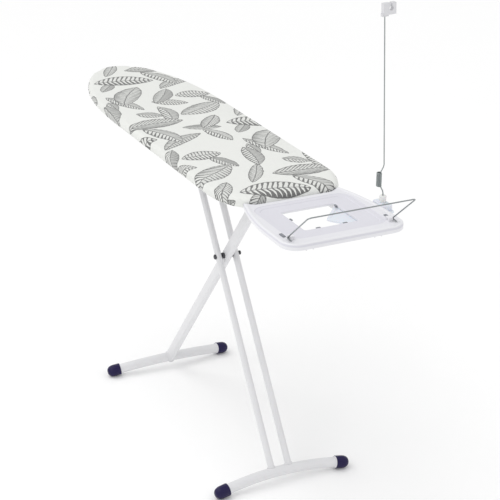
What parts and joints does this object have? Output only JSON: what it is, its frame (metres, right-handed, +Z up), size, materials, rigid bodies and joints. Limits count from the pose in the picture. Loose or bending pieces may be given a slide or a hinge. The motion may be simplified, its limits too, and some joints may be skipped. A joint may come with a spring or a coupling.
{
  "type": "ironing board",
  "caption": "Folding ironing board on crossed steel legs, with a padded leaf-print cover, a fixed iron tray with a wire bail, and a sprung cable mast.",
  "frame": {"origin": "on the floor, at the middle of the overall length and width", "axes": "+X from the nose to the tray, +Y to the side of the cable mast, +Z up"},
  "size_m": [1.7138, 0.4404, 1.4652],
  "materials": {
    "cover_fabric": "woven cotton printed with dark leaves",
    "underlay": "felt and foam underlay",
    "elastic_band": "elastic band",
    "white_steel": "white powder coat",
    "plated_steel": "zinc plated",
    "wire_steel": "plated spring wire",
    "tray_plastic": "pale lavender white moulding, fine grain",
    "bracket_plastic": "bluish white moulding",
    "white_plastic": "white moulding",
    "cap_navy": "dark navy moulding",
    "dark_rubber": "dark rubber",
    "grey_plastic": "grey moulding",
    "dark_bolt": "blackened steel"
  },
  "bodies": {
    "board": {"cover": "cover_fabric", "underlay_pad": "underlay", "board_panel": "white_steel", "hem_elastic": "elastic_band", "slide_rail_left": "white_steel", "slide_rail_right": "white_steel", "rail_end_stops": "dark_rubber", "rail_rivets": "plated_steel", "leg_bracket": "white_steel", "rear_leg_axle": "plated_steel", "axle_caps": "plated_steel", "tray": "tray_plastic", "tray_arm_left": "white_steel", "tray_arm_right": "white_steel", "tray_screws": "plated_steel", "opening_clips": "dark_rubber", "bail_sockets": "tray_plastic", "bail_pads": "dark_rubber", "cable_holder_bracket": "bracket_plastic", "lever_bracket": "white_steel", "lever_pin": "plated_steel"},
    "release_lever": {"release_lever": "grey_plastic"},
    "height_lock": {"height_rack": "plated_steel", "pull_rod": "plated_steel"},
    "rear_leg": {"rear_leg_tube": "white_steel", "rear_leg_lug": "plated_steel", "rear_foot_bar": "white_steel", "rear_cap_left": "cap_navy", "rear_cap_right": "cap_navy", "rear_collars": "tray_plastic", "crossing_bolt": "dark_bolt", "crossing_bolt_nut": "dark_bolt", "crossing_spacers": "grey_plastic"},
    "front_leg": {"front_tube_left": "white_steel", "front_tube_right": "white_steel", "front_foot_bar": "white_steel", "front_cap_left": "cap_navy", "front_cap_right": "cap_navy", "front_collars": "tray_plastic", "slider_rod": "plated_steel", "slider_rollers": "white_plastic", "front_tube_plugs": "grey_plastic"},
    "wire_bail": {"wire_bail": "wire_steel"},
    "mast_base": {"mast_plug": "white_plastic", "mast_lower_wire": "wire_steel", "coil_spring": "wire_steel"},
    "mast_top": {"mast_wire": "wire_steel", "cable_clip": "white_plastic"}
  },
  "joints": [
    {"name": "leg_fold", "type": "hinge", "parent": "board", "child": "rear_leg", "pos_m": [0.3145, 0, 0.884], "axis": [0, 1, 0], "range_deg": [-3.4, 48]},
    {"name": "cross_fold", "type": "hinge", "parent": "rear_leg", "child": "front_leg", "pos_m": [0.06675, 0, 0.58345], "axis": [0, 1, 0], "range_deg": [-102, 7.5]},
    {"name": "lever_squeeze", "type": "hinge", "parent": "board", "child": "release_lever", "pos_m": [0.41, -0.066, 0.882], "axis": [0, 1, 0], "range_deg": [-12, 0], "stiffness_Nm_per_rad": 0.8, "springref_deg": 5.73},
    {"name": "lock_slide", "type": "slide", "parent": "board", "child": "height_lock", "axis": [1, 0, 0], "range_m": [0, 0.0033]},
    {"name": "bail_fold", "type": "hinge", "parent": "board", "child": "wire_bail", "pos_m": [0.746, 0, 0.922], "axis": [0, 1, 0], "range_deg": [-139, 0]},
    {"name": "mast_swivel", "type": "hinge", "parent": "board", "child": "mast_base", "pos_m": [0.634, 0.191, 0.921], "axis": [0, 0, 1], "range_deg": [-90, 90]},
    {"name": "mast_tilt", "type": "hinge", "parent": "mast_base", "child": "mast_top", "pos_m": [0.634, 0.1828, 1.0115], "axis": [0, 1, 0], "range_deg": [-30, 30], "stiffness_Nm_per_rad": 1.2}
  ],
  "couplings": [
    {"joint": "cross_fold", "follows": "leg_fold", "ratio": -2.1113},
    {"joint": "lever_squeeze", "follows": "lock_slide", "rad_per_m": -63.3}
  ]
}
